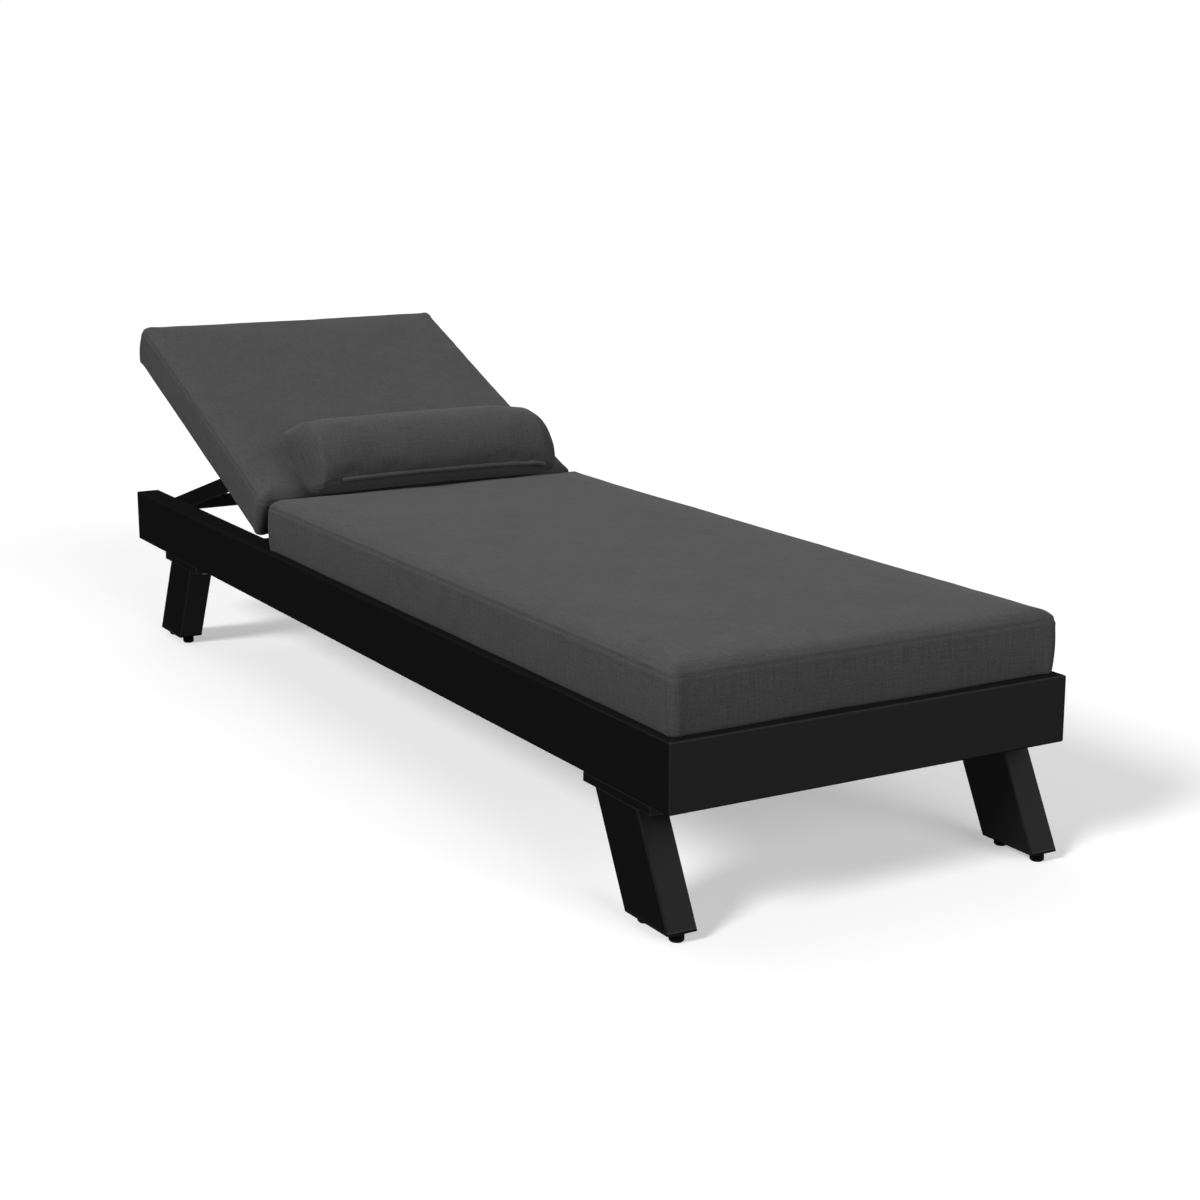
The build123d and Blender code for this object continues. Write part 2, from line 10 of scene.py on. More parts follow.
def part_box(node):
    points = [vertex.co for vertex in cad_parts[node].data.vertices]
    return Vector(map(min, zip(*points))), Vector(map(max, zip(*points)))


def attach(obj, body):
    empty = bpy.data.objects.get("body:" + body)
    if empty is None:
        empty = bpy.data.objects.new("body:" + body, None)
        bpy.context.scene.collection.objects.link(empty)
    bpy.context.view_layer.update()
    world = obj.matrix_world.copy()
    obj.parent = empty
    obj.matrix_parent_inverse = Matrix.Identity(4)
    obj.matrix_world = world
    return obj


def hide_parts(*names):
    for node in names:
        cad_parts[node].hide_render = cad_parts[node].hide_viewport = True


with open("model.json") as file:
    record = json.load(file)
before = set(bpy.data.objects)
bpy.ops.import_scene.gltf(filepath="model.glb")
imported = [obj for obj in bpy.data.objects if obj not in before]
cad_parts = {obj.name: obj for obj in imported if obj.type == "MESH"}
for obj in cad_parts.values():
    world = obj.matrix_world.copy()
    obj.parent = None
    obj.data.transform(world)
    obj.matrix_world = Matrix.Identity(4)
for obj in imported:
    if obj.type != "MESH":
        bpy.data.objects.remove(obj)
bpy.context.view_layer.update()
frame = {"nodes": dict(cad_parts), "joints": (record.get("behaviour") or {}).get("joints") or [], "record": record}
scene = bpy.context.scene
nodes = frame["nodes"]
joints = {joint["name"]: joint for joint in frame["joints"]}
slotOfNode = {part["node"]: part["material_slot"] for part in frame["record"]["subparts"]}
print("frame loaded:", len(nodes), "nodes")

# The back rest's own directions: across, along the slope, and out of it
across = Vector((1, 0, 0))
alongBack = Vector(joints["back_pad_slide"]["axis"]).normalized()
outOfBack = across.cross(alongBack)
hinge = Vector(joints["back_recline"]["pos_m"])


def spanOf(node, direction):
    # from where to where a solid reaches, measured from the hinge
    heights = [(v.co - hinge).dot(direction) for v in nodes[node].data.vertices]
    return min(heights), max(heights)


# Helpers for node trees

def addNode(tree, kind, **settings):
    node = tree.nodes.new(kind)
    for key, value in settings.items():
        setattr(node, key, value)
    return node


def wire(tree, source, target):
    tree.links.new(source, target)


def feed(tree, value, target):
    # a plain number is set on the socket, anything else is linked to it
    if isinstance(value, (int, float)):
        target.default_value = value
    else:
        wire(tree, value, target)


def calc(tree, operation, a, b=0.0):
    node = addNode(tree, "ShaderNodeMath", operation=operation)
    feed(tree, a, node.inputs[0])
    feed(tree, b, node.inputs[1])
    return node.outputs[0]


def newGroup(name, inputs, outputs):
    group = bpy.data.node_groups.new(name, "ShaderNodeTree")
    for label, kind, value in inputs:
        socket = group.interface.new_socket(label, in_out="INPUT", socket_type=kind)
        if value is not None:
            socket.default_value = value
    for label, kind in outputs:
        group.interface.new_socket(label, in_out="OUTPUT", socket_type=kind)
    return group, addNode(group, "NodeGroupInput").outputs, addNode(group, "NodeGroupOutput").inputs


def useGroup(tree, group, **values):
    node = addNode(tree, "ShaderNodeGroup", node_tree=group)
    for label, value in values.items():
        feed(tree, value, node.inputs[label])
    return node.outputs


def stretchedNoise(tree, vector, scale, detail):
    place = addNode(tree, "ShaderNodeMapping")
    place.inputs["Scale"].default_value = scale
    wire(tree, vector, place.inputs["Vector"])
    grain = addNode(tree, "ShaderNodeTexNoise")
    grain.inputs["Scale"].default_value = 1.0
    grain.inputs["Detail"].default_value = detail
    wire(tree, place.outputs["Vector"], grain.inputs["Vector"])
    return grain.outputs["Fac"]


# Plain weave: two sets of yarn that pass over each other, with slubs along each yarn
weave = {
    # each streak: how fine across and along, its detail, its share in the shade
    "streaks": [(620, 26, 2, 0.7), (26, 620, 2, 0.7), (330, 330, 3, 0.8), (9, 9, 2, 0.25)],
    "ridgeShare": 0.22, "middle": 0.85,
}


def weaveTree():
    tree, given, out = newGroup(
        "wovenCloth",
        [("Cloth", "NodeSocketVector", None), ("Yarn", "NodeSocketFloat", 0.0012)],
        [("Shade", "NodeSocketFloat"), ("Height", "NodeSocketFloat")],
    )
    parts = addNode(tree, "ShaderNodeSeparateXYZ")
    wire(tree, given["Cloth"], parts.inputs[0])
    warp, weft = (calc(tree, "DIVIDE", parts.outputs[axis], given["Yarn"]) for axis in ("X", "Y"))
    crossing = calc(tree, "ADD", calc(tree, "FLOOR", warp), calc(tree, "FLOOR", weft))
    ridge = addNode(tree, "ShaderNodeMix", data_type="FLOAT")
    wire(tree, calc(tree, "PINGPONG", crossing, 1.0), ridge.inputs["Factor"])
    for yarn, side in ((warp, "A"), (weft, "B")):
        wave = calc(tree, "SINE", calc(tree, "MULTIPLY", yarn, math.pi))
        wire(tree, calc(tree, "ABSOLUTE", wave), ridge.inputs[side])
    wire(tree, ridge.outputs["Result"], out["Height"])
    # the ridges also tint the colour, lighter on the yarns' crowns and darker between them: painted shade
    shade = calc(tree, "MULTIPLY", ridge.outputs["Result"], weave["ridgeShare"])
    for over, along, detail, share in weave["streaks"]:
        streak = stretchedNoise(tree, given["Cloth"], (over, along, 1), detail)
        shade = calc(tree, "ADD", shade, calc(tree, "MULTIPLY", streak, share))
    wire(tree, calc(tree, "SUBTRACT", shade, weave["middle"]), out["Shade"])
    return tree


# Painted highlight and wear on edges: a mask that grows where the surface turns within a small radius, broken into
# patches; it lightens the colour there
wearAndHighlight = {"samples": 6, "patchScale": 60, "patchDetail": 3, "patchGain": 6.0, "patchLeast": 2.0}


def wearAndHighlightTree():
    tree, given, out = newGroup(
        "edgeWearAndHighlight",
        [("Radius", "NodeSocketFloat", 0.002), ("Amount", "NodeSocketFloat", 1.0)],
        [("Mask", "NodeSocketFloat")],
    )
    bevel = addNode(tree, "ShaderNodeBevel", samples=wearAndHighlight["samples"])
    wire(tree, given["Radius"], bevel.inputs["Radius"])
    facing = addNode(tree, "ShaderNodeNewGeometry")
    turn = addNode(tree, "ShaderNodeVectorMath", operation="DOT_PRODUCT")
    wire(tree, bevel.outputs["Normal"], turn.inputs[0])
    wire(tree, facing.outputs["Normal"], turn.inputs[1])
    edge = calc(tree, "SUBTRACT", 1.0, turn.outputs["Value"])
    place = addNode(tree, "ShaderNodeTexCoord")
    patches = stretchedNoise(tree, place.outputs["Object"], [wearAndHighlight["patchScale"]] * 3, wearAndHighlight["patchDetail"])
    patches = calc(tree, "ADD", calc(tree, "MULTIPLY", patches, wearAndHighlight["patchGain"]), wearAndHighlight["patchLeast"])
    mask = calc(tree, "MULTIPLY", calc(tree, "MULTIPLY", edge, patches), given["Amount"])
    wire(tree, calc(tree, "MINIMUM", mask, 1.0), out["Mask"])
    return tree


# Baked-on grain: fine orange peel, with a broader drift in gloss
baked = {"peelDetail": 2.0, "driftScale": 7, "driftDetail": 3}


def grainTree():
    tree, given, out = newGroup(
        "bakedGrain",
        [("Fineness", "NodeSocketFloat", 900.0)],
        [("Height", "NodeSocketFloat"), ("Drift", "NodeSocketFloat")],
    )
    place = addNode(tree, "ShaderNodeTexCoord")
    peel = addNode(tree, "ShaderNodeTexNoise")
    peel.inputs["Detail"].default_value = baked["peelDetail"]
    wire(tree, place.outputs["Object"], peel.inputs["Vector"])
    wire(tree, given["Fineness"], peel.inputs["Scale"])
    wire(tree, peel.outputs["Fac"], out["Height"])
    drift = stretchedNoise(tree, place.outputs["Object"], [baked["driftScale"]] * 3, baked["driftDetail"])
    wire(tree, drift, out["Drift"])
    return tree


weaveGroup = weaveTree()
wearAndHighlightGroup = wearAndHighlightTree()
grainGroup = grainTree()


def startMaterial(name):
    material = bpy.data.materials.new(name)
    material.use_nodes = True
    tree = material.node_tree
    return material, tree, tree.nodes["Principled BSDF"]


def mixColour(tree, factor, low, high):
    node = addNode(tree, "ShaderNodeMix", data_type="RGBA")
    node.inputs["A"].default_value = (*low, 1)
    node.inputs["B"].default_value = (*high, 1)
    wire(tree, factor, node.inputs["Factor"])
    return node.outputs["Result"]


def rangeOf(tree, value, low, high):
    node = addNode(tree, "ShaderNodeMapRange")
    node.inputs["To Min"].default_value = low
    node.inputs["To Max"].default_value = high
    wire(tree, value, node.inputs["Value"])
    return node.outputs["Result"]


def bumpFrom(tree, height, strength, distance):
    bump = addNode(tree, "ShaderNodeBump")
    bump.inputs["Strength"].default_value = strength
    bump.inputs["Distance"].default_value = distance
    wire(tree, height, bump.inputs["Height"])
    return bump.outputs["Normal"]


def setPlain(shader, values):
    for label, value in values.items():
        shader.inputs[label].default_value = value


# Powder-coated aluminium
coat = {
    # its pale tone on the edges is partly painted highlight, partly wear
    "colour": (0.0168, 0.0168, 0.0172), "paleTone": (0.060, 0.060, 0.062), "rough": (0.48, 0.60),
    "edge": 0.0022, "wearAndHighlight": 0.4, "grain": 1100.0, "bump": (0.12, 0.0002),
    "plain": {"Metallic": 0.5, "Specular IOR Level": 0.0, "Specular Tint": (0.1, 0.1, 0.1, 1)},
}
# Blackened steel of bolts, screws and pins
steel = {
    # its pale tone on the edges is partly painted highlight, partly wear
    "colour": (0.05, 0.05, 0.053), "paleTone": (0.3, 0.3, 0.3), "rough": (0.3, 0.45),
    "edge": 0.0008, "wearAndHighlight": 0.5, "grain": 2500.0, "bump": (0.1, 0.0001), "plain": {"Metallic": 1.0},
}
# Painted shade standing for the inside of a fastener's socket, which has no painted edge highlight or wear
paintedSocketShade = {
    "colour": (0.006, 0.006, 0.006), "paleTone": (0.02, 0.02, 0.02), "rough": (0.7, 0.85),
    "grain": 3000.0, "bump": (0.2, 0.0001), "plain": {"Metallic": 1.0},
}
# Moulded black plastic of caps, glides and bushes
plastic = {
    # its pale tone on the edges is partly painted highlight, partly wear
    "colour": (0.008, 0.008, 0.008), "paleTone": (0.035, 0.035, 0.035), "rough": (0.55, 0.7),
    "edge": 0.0012, "wearAndHighlight": 0.4, "grain": 1800.0, "bump": (0.2, 0.0002),
    "plain": {"Specular IOR Level": 0.006},
}


def grainyFinish(name, look):
    material, tree, shader = startMaterial(name)
    grain = useGroup(tree, grainGroup, Fineness=look["grain"])
    shift = grain["Drift"]
    # with an edge mask, the colour turns to the pale tone on edges: painted highlight, and wear
    if "edge" in look:
        shift = useGroup(tree, wearAndHighlightGroup, Radius=look["edge"], Amount=look["wearAndHighlight"])["Mask"]
    wire(tree, mixColour(tree, shift, look["colour"], look["paleTone"]), shader.inputs["Base Color"])
    wire(tree, rangeOf(tree, grain["Drift"], *look["rough"]), shader.inputs["Roughness"])
    wire(tree, bumpFrom(tree, grain["Height"], *look["bump"]), shader.inputs["Normal"])
    setPlain(shader, look["plain"])
    return material


# Charcoal outdoor cloth, a little lighter on the pillow
cloth = {
    "dark": (0.048, 0.048, 0.049), "light": (0.106, 0.106, 0.108), "cushionTone": 1.0, "pillowTone": 1.05,
    "yarn": 0.0011, "rough": (0.82, 0.95), "bump": (0.35, 0.0003),
    "plain": {"Specular IOR Level": 0.0, "Sheen Weight": 0.10, "Sheen Roughness": 0.4},
}


def charcoalCloth(name, tone):
    material, tree, shader = startMaterial(name)
    place = addNode(tree, "ShaderNodeUVMap", uv_map="cloth")
    woven = useGroup(tree, weaveGroup, Cloth=place.outputs["UV"], Yarn=cloth["yarn"])
    low, high = ([channel * tone for channel in cloth[key]] for key in ("dark", "light"))
    wire(tree, mixColour(tree, woven["Shade"], low, high), shader.inputs["Base Color"])
    wire(tree, rangeOf(tree, woven["Shade"], *cloth["rough"]), shader.inputs["Roughness"])
    wire(tree, bumpFrom(tree, woven["Height"], *cloth["bump"]), shader.inputs["Normal"])
    setPlain(shader, cloth["plain"])
    return material


finishes = {
    "powder_coat": grainyFinish("powderCoat", coat),
    "dark_steel": grainyFinish("darkSteel", steel),
    "socket": grainyFinish("socketShade", paintedSocketShade),
    "black_plastic": grainyFinish("blackPlastic", plastic),
    "cushion_fabric": charcoalCloth("cushionCloth", cloth["cushionTone"]),
    "pillow_fabric": charcoalCloth("pillowCloth", cloth["pillowTone"]),
}
for name, node in nodes.items():
    node.data.materials.clear()
    node.data.materials.append(finishes[slotOfNode[name]])
print("finishes made:", len(finishes))


# Covers: meshes with a cloth map in metres, and with each point's gap to the nearest seam

# what every cover shares under pressure; none of its points moves further than the cap
coverSim = {"quality": 6, "mass": 0.3, "pressure": 4.0, "sewnWidth": 0.0015, "frames": 20, "cap": 0.006}
# puckers are two waves along a seam, the second finer and weaker
puckers = {"seed": 1.7, "fineSeed": 5.1, "finer": 2.3, "fineShare": 0.5, "level": 0.37}
farOff = 1.0  # a gap that no seam reaches


def makePiece(name, points, faces, clothMap, seamGap, seamRun, material):
    mesh = bpy.data.meshes.new(name)
    mesh.from_pydata(points, [], faces)
    flat = [value for face in clothMap for place in face for value in place]
    mesh.uv_layers.new(name="cloth").data.foreach_set("uv", flat)
    for label, values in (("seamGap", seamGap), ("seamRun", seamRun)):
        mesh.attributes.new(label, "FLOAT", "POINT").data.foreach_set("value", values)
    mesh.materials.append(material)
    piece = bpy.data.objects.new(name, mesh)
    scene.collection.objects.link(piece)
    return piece


def readPoints(mesh):
    flat = np.zeros(len(mesh.vertices) * 3)
    mesh.vertices.foreach_get("co", flat)
    return flat.reshape(-1, 3)


def writePoints(mesh, points):
    mesh.vertices.foreach_set("co", np.asarray(points, np.float32).ravel())
    mesh.update()


def readValues(mesh, label):
    values = np.zeros(len(mesh.vertices))
    mesh.attributes[label].data.foreach_get("value", values)
    return values


def inflate(piece, spec):
    # a cover under pressure, drawn in along its seams
    start = readPoints(piece.data)
    sewn = piece.vertex_groups.new(name="sewn")
    for index in np.nonzero(np.abs(readValues(piece.data, "seamGap")) < spec["sewnWidth"])[0]:
        sewn.add([int(index)], 1.0, "REPLACE")
    cover = piece.modifiers.new("cover", "CLOTH")
    settings = cover.settings
    settings.quality = spec["quality"]
    settings.mass = spec["mass"]
    settings.tension_stiffness = spec["stiffness"]
    settings.compression_stiffness = spec["stiffness"]
    settings.shear_stiffness = spec["stiffness"] / 2
    settings.bending_stiffness = spec["bending"]
    settings.use_pressure = True
    settings.uniform_pressure_force = spec["pressure"]
    settings.vertex_group_shrink = "sewn"
    settings.shrink_min = 0.0
    settings.shrink_max = spec["seamShrink"]
    settings.effector_weights.gravity = 0.0
    cover.point_cache.frame_start = 1
    cover.point_cache.frame_end = spec["frames"]
    for step in range(1, spec["frames"] + 1):
        scene.frame_set(step)
    evaluated = piece.evaluated_get(bpy.context.evaluated_depsgraph_get())
    moved = readPoints(evaluated.data) - start
    piece.modifiers.remove(cover)
    piece.vertex_groups.clear()
    scene.frame_set(1)
    far = np.linalg.norm(moved, axis=1, keepdims=True)
    far = np.maximum(far, 1e-9)  # a point that stays put has no direction
    capped = moved / far * spec["cap"] * np.tanh(far / spec["cap"])
    writePoints(piece.data, start + capped)
    print(piece.name, "inflated, most", round(float(far.max()) * 1000, 1), "mm")


def divideOnce(piece):
    finer = piece.modifiers.new("finer", "SUBSURF")
    finer.levels = 1
    finer.render_levels = 1
    evaluated = piece.evaluated_get(bpy.context.evaluated_depsgraph_get())
    mesh = bpy.data.meshes.new_from_object(evaluated)
    piece.modifiers.remove(finer)
    old = piece.data
    piece.data = mesh
    bpy.data.meshes.remove(old)
    mesh.name = piece.name


def ripple(run, size, seed):
    return np.array([noise.noise(Vector((r / size, seed, puckers["level"]))) for r in run])


def sewSeams(piece, spec):
    # a crease at each seam, a fuller lip beside it and small puckers that die away from it
    mesh = piece.data
    gap = readValues(mesh, "seamGap")
    near = np.abs(gap) < spec["reach"]
    gap = gap[near]
    run = readValues(mesh, "seamRun")[near]
    width = spec["creaseWidth"]
    lift = np.zeros(len(near))
    lift[near] -= spec["crease"] * np.exp(-((gap / width) ** 2))
    lift[near] += spec["lip"] * np.exp(-(((np.abs(gap) - 2 * width) / width) ** 2))
    wave = ripple(run, spec["puckerSize"], puckers["seed"])
    fine = ripple(run, spec["puckerSize"] / puckers["finer"], puckers["fineSeed"])
    wave = wave + puckers["fineShare"] * fine
    lift[near] += spec["pucker"] * wave * np.exp(-np.abs(gap) / spec["puckerFade"])
    points = readPoints(mesh)
    lump = np.array([noise.noise(Vector(p) * spec["lumpScale"]) for p in points])
    lift += spec["lump"] * lump
    normals = np.zeros(len(lift) * 3)
    mesh.vertices.foreach_get("normal", normals)
    writePoints(mesh, points + normals.reshape(-1, 3) * lift[:, None])
    for label in ("seamGap", "seamRun"):
        mesh.attributes.remove(mesh.attributes[label])


def smooth(piece):
    piece.data.polygons.foreach_set("use_smooth", [True] * len(piece.data.polygons))
    piece.data.update()


def placeFrom(origin, along, out):
    turned = Matrix((across, along, out)).transposed().to_4x4()
    return Matrix.Translation(origin) @ turned


# Boxed cushions: a top panel rolled over its edge, a boxing strip and a flat base
boxed = {
    "step": 0.010, "roll": 0.021, "rollDrop": 0.017, "seamTurn": 78.0, "rollRows": 6,
    "boxingFrom": 0.06, "boxingRows": 7, "bulge": 0.002, "baseRoll": 0.003, "baseRing": 0.5,
    "cornerRays": 6, "square": 0.33, "startIn": 0.002, "startLow": 0.006, "clear": 0.0003, "runApart": 5.0,
    "seatFuller": 0.009, "seatForward": 0.005, "sideIn": 0.001,
    "sim": coverSim | {"stiffness": 20.0, "bending": 2.0, "seamShrink": 0.004},
    "seam": {
        "crease": 0.0008, "creaseWidth": 0.0020, "lip": 0.0006, "reach": 0.08, "pucker": 0.0009,
        "puckerSize": 0.021, "puckerFade": 0.012, "lump": 0.0012, "lumpScale": 6.0,
    },
}


def evenly(low, high, step):
    count = max(2, round((high - low) / step))
    return [low + (high - low) * i / count for i in range(count + 1)]


def boxedCushion(name, halfWidth, length, height, place):
    roll = boxed["roll"]
    half = halfWidth - boxed["startIn"]
    lift = height - boxed["startLow"]
    xs = evenly(-half + roll, half - roll, boxed["step"])
    ys = evenly(roll, length - roll, boxed["step"])
    points = []
    gaps = []
    runs = []
    faces = []
    clothMap = []

    # how the panel rolls over its edge: out and down at each row, and the cloth used by then
    rows = boxed["rollRows"]
    turns = [math.radians(boxed["seamTurn"]) * k / rows for k in range(rows + 1)]
    rolled = [(roll * math.sin(a), boxed["rollDrop"] * (1 - math.cos(a))) for a in turns]
    strips = [0.0]
    for a, b in zip(rolled, rolled[1:]):
        strips.append(strips[-1] + math.dist(a, b))
    panelReach = strips[-1]

    def addPoint(x, y, z, gap, run):
        points.append((x, y, z))
        gaps.append(gap)
        runs.append(run)
        return len(points) - 1

    def addFace(corners, mapped):
        faces.append(corners)
        clothMap.append(mapped)

    def borderGap(x, y):
        inset = min(half - roll - abs(x), y - roll, length - roll - y)
        return inset + panelReach

    def borderRun(x, y):
        # each border has a stretch of puckers of its own
        sideways = half - roll - abs(x) < min(y - roll, length - roll - y)
        if sideways:
            return y + boxed["runApart"] * (x > 0)
        return x + boxed["runApart"] * (2 + (y > length / 2))

    top = [[addPoint(x, y, lift, borderGap(x, y), borderRun(x, y)) for x in xs] for y in ys]
    base = [[addPoint(x, y, 0.0, farOff, 0.0) for x in xs] for y in ys]

    # rays that leave the border of the panel, with a fan of them at each corner
    last = len(xs) - 1
    end = len(ys) - 1
    border = [(i, 0) for i in range(last + 1)] + [(last, j) for j in range(1, end + 1)]
    border += [(i, end) for i in range(last - 1, -1, -1)] + [(0, j) for j in range(end - 1, 0, -1)]
    cornerTurns = {(last, 0): -90, (last, end): 0, (0, end): 90, (0, 0): 180}
    fan = boxed["cornerRays"]
    rays = []
    for i, j in border:
        if (i, j) in cornerTurns:
            facing = [cornerTurns[i, j] + 90 * k / fan for k in range(fan + 1)]
        else:
            facing = [-90 if j == 0 else 0 if i == last else 90 if j == end else 180]
        for turn in facing:
            a = math.radians(turn)
            stretch = 1 + boxed["square"] * math.sin(2 * a) ** 2
            rays.append((i, j, stretch * math.cos(a), stretch * math.sin(a)))

    def onRay(ray, out):
        i, j, sideways, lengthways = ray
        return xs[i] + out * sideways, ys[j] + out * lengthways

    # the profile down each ray: how far out, how high, how far from the seam
    profile = [(out, lift - fallen, panelReach - strip) for (out, fallen), strip in zip(rolled, strips)]
    del profile[0]  # the panel's own border
    seamHeight = lift - rolled[-1][1]
    low = boxed["baseRoll"]
    fall = seamHeight - low
    start = boxed["boxingFrom"]
    for k in range(boxed["boxingRows"] + 1):
        share = start + (1 - start) * k / boxed["boxingRows"]
        out = roll + boxed["bulge"] * math.sin(math.pi * share)
        profile.append((out, seamHeight - fall * share, -fall * share))
    for a in (math.radians(45), math.radians(90)):
        profile.append((roll - low * (1 - math.cos(a)), low * (1 - math.sin(a)), -farOff))
    profile.append((boxed["baseRing"] * (roll - low), 0.0, -farOff))

    # how far round each ray stands, and last the whole way round
    feet = [onRay(ray, roll) for ray in rays]
    travelled = [0.0]
    for a, b in zip(feet, feet[1:] + feet[:1]):
        travelled.append(travelled[-1] + math.dist(a, b))
    rings = []
    for out, z, gap in profile:
        rings.append([addPoint(*onRay(ray, out), z, gap, run) for ray, run in zip(rays, travelled)])

    def panelFace(panel, places):
        addFace([panel[j][i] for i, j in places], [(xs[i], ys[j]) for i, j in places])

    for j in range(end):
        for i in range(last):
            panelFace(top, [(i, j), (i + 1, j), (i + 1, j + 1), (i, j + 1)])
            panelFace(base, [(i, j), (i, j + 1), (i + 1, j + 1), (i + 1, j)])
    rim = rings[0]
    under = rings[-1]
    for k, ray in enumerate(rays):
        n = (k + 1) % len(rays)
        beside = rays[n]
        (i0, j0), (i1, j1) = ray[:2], beside[:2]
        here, there = (xs[i0], ys[j0]), (xs[i1], ys[j1])
        upper = [top[j0][i0], rim[k], rim[n]]
        upperMap = [here, points[rim[k]][:2], points[rim[n]][:2]]
        lower = [base[j0][i0], under[n], under[k]]
        lowerMap = [here, there, here]
        if (i0, j0) != (i1, j1):  # otherwise one of a fan, with three sides
            upper.append(top[j1][i1])
            upperMap.append(there)
            lower.insert(1, base[j1][i1])
            lowerMap.insert(1, there)
        addFace(upper, upperMap)
        for r, (above, below) in enumerate(zip(rings, rings[1:])):
            if profile[r + 1][2] >= 0:  # still on the top panel
                near, far = strips[r + 1], strips[r + 2]
                mapped = [onRay(ray, near), onRay(ray, far), onRay(beside, far), onRay(beside, near)]
            else:
                s0, s1 = travelled[k], travelled[k + 1]
                z0, z1 = points[above[k]][2], points[below[k]][2]
                mapped = [(s0, z0), (s0, z1), (s1, z1), (s1, z0)]
            addFace([above[k], below[k], below[n], above[n]], mapped)
        addFace(lower, lowerMap)

    piece = makePiece(name, points, faces, clothMap, gaps, runs, finishes["cushion_fabric"])
    inflate(piece, boxed["sim"])
    settled = readPoints(piece.data)
    settled[:, 0] *= (halfWidth + boxed["bulge"]) / np.abs(settled[:, 0]).max()
    least, most = settled[:, 1].min(), settled[:, 1].max()
    settled[:, 1] = (settled[:, 1] - least) * length / (most - least)
    settled[:, 2] = np.maximum(settled[:, 2], 0.0)
    writePoints(piece.data, settled)
    divideOnce(piece)
    sewSeams(piece, boxed["seam"])
    settled = readPoints(piece.data)
    settled[:, 2] = np.maximum(settled[:, 2], boxed["clear"])
    writePoints(piece.data, settled)
    piece.data.transform(place)
    smooth(piece)
    return piece


seatLow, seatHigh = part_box("seat_cushion")
cushionHalf = seatHigh.x - boxed["bulge"] - boxed["sideIn"]
seatStart = seatLow.y - boxed["seatForward"]
seatPlace = placeFrom(Vector((0, seatStart, seatLow.z)), Vector((0, 1, 0)), Vector((0, 0, 1)))
seatHeight = seatHigh.z - seatLow.z + boxed["seatFuller"]
seatCushion = boxedCushion("seatCushion", cushionHalf, seatHigh.y - seatStart, seatHeight, seatPlace)
seatTop = readPoints(seatCushion.data)[:, 2].max()

backStart, backEnd = spanOf("back_cushion", alongBack)
backBase, backFace = spanOf("back_cushion", outOfBack)
backPlace = placeFrom(hinge + alongBack * backStart + outOfBack * backBase, alongBack, outOfBack)
backCushion = boxedCushion("backCushion", cushionHalf, backEnd - backStart, backFace - backBase, backPlace)
print("boxed cushions made")


# Helpers for pieces that Geometry Nodes make

def startTree(name, inputs, output):
    tree = bpy.data.node_groups.new(name, "GeometryNodeTree")
    for label, kind in inputs.items():
        tree.interface.new_socket(label, in_out="INPUT", socket_type="NodeSocket" + kind)
    tree.interface.new_socket(output, in_out="OUTPUT", socket_type="NodeSocketGeometry")
    return tree, addNode(tree, "NodeGroupInput").outputs


def endTree(tree, geometry, finish, output):
    whole = addNode(tree, "GeometryNodeRealizeInstances")
    wire(tree, geometry, whole.inputs["Geometry"])
    dressed = addNode(tree, "GeometryNodeSetMaterial")
    wire(tree, whole.outputs["Geometry"], dressed.inputs["Geometry"])
    wire(tree, finish, dressed.inputs["Material"])
    wire(tree, dressed.outputs["Geometry"], addNode(tree, "NodeGroupOutput").inputs[output])
    return tree


def runTree(name, mesh, tree, values):
    # a plain mesh from a node tree, with each input set through its identifier
    piece = bpy.data.objects.new(name, mesh)
    scene.collection.objects.link(piece)
    maker = piece.modifiers.new(name, "NODES")
    maker.node_group = tree
    for item in tree.interface.items_tree:
        if item.in_out == "INPUT" and item.name in values:
            maker[item.identifier] = values[item.name]
    evaluated = piece.evaluated_get(bpy.context.evaluated_depsgraph_get())
    made = bpy.data.meshes.new_from_object(evaluated)
    piece.modifiers.remove(maker)
    piece.data = made
    bpy.data.meshes.remove(mesh)
    made.name = name
    return piece


# Loose pillow: one cloth folded over the top, sewn along its lower edge and pinched at its ends
pillow = {
    "stations": 80, "crowd": 0.35, "front": 46, "behind": 46, "startShare": 0.975, "reach": 0.994,
    "bluntLeft": 1.8, "bluntRight": 1.0, "welt": 0.050, "droop": 0.034, "droopPower": 8,
    "pull": 0.018, "pullPower": 12, "cornerFrom": 0.9, "cornerShrink": 0.25,
    "settle": 0.0022, "settleOver": 0.012, "clear": 0.0005, "endRuns": (3.0, 5.0),
    "tuck": {"in": 0.013, "up": 0.015, "power": 7},
    "lip": {"Radius": 0.0043, "Step": 0.006, "sides": 12, "from": -0.192, "to": 0.212, "out": 0.0008},
    "sim": coverSim | {"stiffness": 18.0, "bending": 4.0, "seamShrink": 0.006},
    "seam": {
        "crease": 0.0006, "creaseWidth": 0.0030, "lip": 0.0004, "reach": 0.07, "pucker": 0.0008,
        "puckerSize": 0.017, "puckerFade": 0.013, "lump": 0.0007, "lumpScale": 9.0,
    },
}
pillowSpans = [spanOf("pillow", direction) for direction in (across, alongBack, outOfBack)]
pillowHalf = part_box("pillow")[1].x


